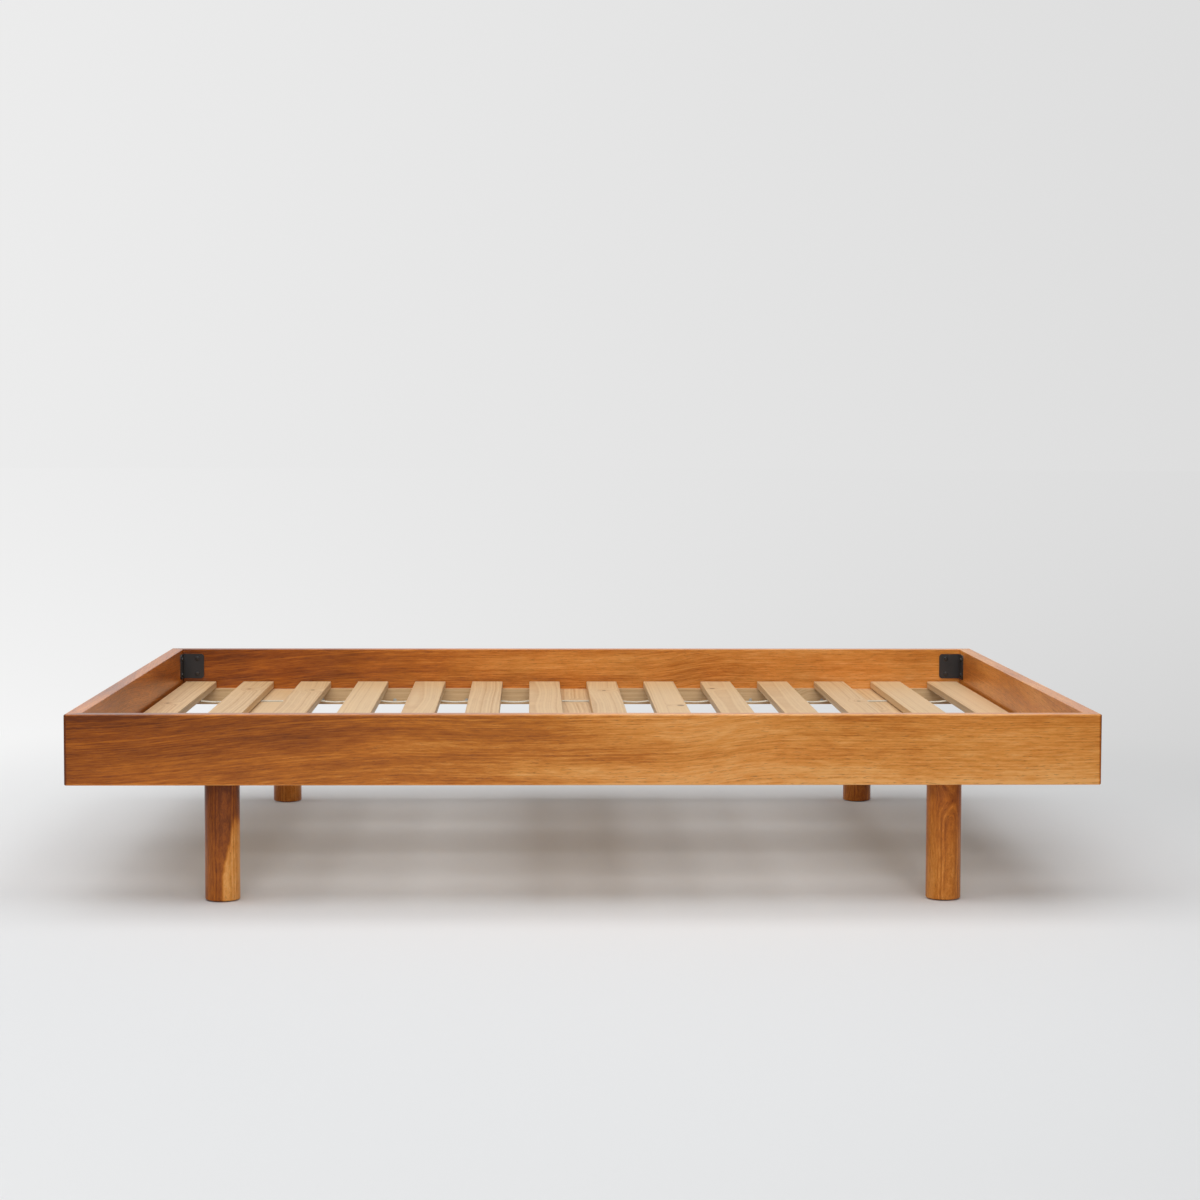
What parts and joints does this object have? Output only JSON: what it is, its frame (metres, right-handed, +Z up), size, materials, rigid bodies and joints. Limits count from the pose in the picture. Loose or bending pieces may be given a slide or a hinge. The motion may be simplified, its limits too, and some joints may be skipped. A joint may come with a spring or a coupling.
{
  "type": "bed frame",
  "caption": "Low platform bed frame in oiled oak: mitred rails round a mattress well, a loose slatted base on ledgers and bearers, and solid round legs set in from the ends.",
  "frame": {"origin": "on the floor below the middle of the bed", "axes": "+X towards the foot of the bed, +Y towards the left-hand side of someone lying in it, +Z up"},
  "size_m": [2.11, 1.61, 0.393],
  "materials": {
    "side_rail_oak": "oiled oak, grain along the bed",
    "end_rail_oak": "oiled oak, grain across the bed",
    "leg_oak": "oiled oak, grain upright",
    "side_ledger_wood": "sanded pine",
    "end_ledger_wood": "sanded pine",
    "bearer_wood": "sanded pine",
    "beam_wood": "sanded pine",
    "slat_wood": "planed pine",
    "dowel_wood": "beech",
    "bracket_steel": "black powder coat",
    "bolt_steel": "blackened steel",
    "insert_brass": "turned brass",
    "screw_steel": "zinc plated",
    "plate_steel": "zinc plated",
    "staple_steel": "galvanised",
    "ribbon_cotton": "woven cotton tape",
    "pad_rubber": "dark rubber"
  },
  "bodies": {
    "bed_frame": {"centre_beam": "beam_wood", "corner_bolts": "bolt_steel", "corner_bracket_foot_left": "bracket_steel", "corner_bracket_foot_right": "bracket_steel", "corner_bracket_head_left": "bracket_steel", "corner_bracket_head_right": "bracket_steel", "corner_inserts": "insert_brass", "foot_bearer": "bearer_wood", "foot_ledger": "end_ledger_wood", "foot_pad_foot_left": "pad_rubber", "foot_pad_foot_right": "pad_rubber", "foot_pad_head_left": "pad_rubber", "foot_pad_head_right": "pad_rubber", "foot_rail": "end_rail_oak", "head_bearer": "bearer_wood", "head_ledger": "end_ledger_wood", "head_rail": "end_rail_oak", "lap_screws": "screw_steel", "ledger_screws": "screw_steel", "left_ledger": "side_ledger_wood", "left_side_rail": "side_rail_oak", "leg_bolt_foot_left": "bolt_steel", "leg_bolt_foot_right": "bolt_steel", "leg_bolt_head_left": "bolt_steel", "leg_bolt_head_right": "bolt_steel", "leg_foot_left": "leg_oak", "leg_foot_right": "leg_oak", "leg_head_left": "leg_oak", "leg_head_right": "leg_oak", "leg_plate_foot_left": "plate_steel", "leg_plate_foot_right": "plate_steel", "leg_plate_head_left": "plate_steel", "leg_plate_head_right": "plate_steel", "leg_plate_screws": "screw_steel", "middle_bearer": "bearer_wood", "mitre_dowels": "dowel_wood", "right_ledger": "side_ledger_wood", "right_side_rail": "side_rail_oak"},
    "slat_base": {"slat_01": "slat_wood", "slat_02": "slat_wood", "slat_03": "slat_wood", "slat_04": "slat_wood", "slat_05": "slat_wood", "slat_06": "slat_wood", "slat_07": "slat_wood", "slat_08": "slat_wood", "slat_09": "slat_wood", "slat_10": "slat_wood", "slat_11": "slat_wood", "slat_12": "slat_wood", "slat_13": "slat_wood", "slat_14": "slat_wood", "slat_ribbon_right": "ribbon_cotton", "slat_ribbon_left": "ribbon_cotton", "ribbon_staples": "staple_steel"}
  },
  "joints": [
    {"name": "slat_base_lift", "type": "slide", "parent": "bed_frame", "child": "slat_base", "axis": [0, 0, 1], "range_m": [0, 0.25]}
  ]
}
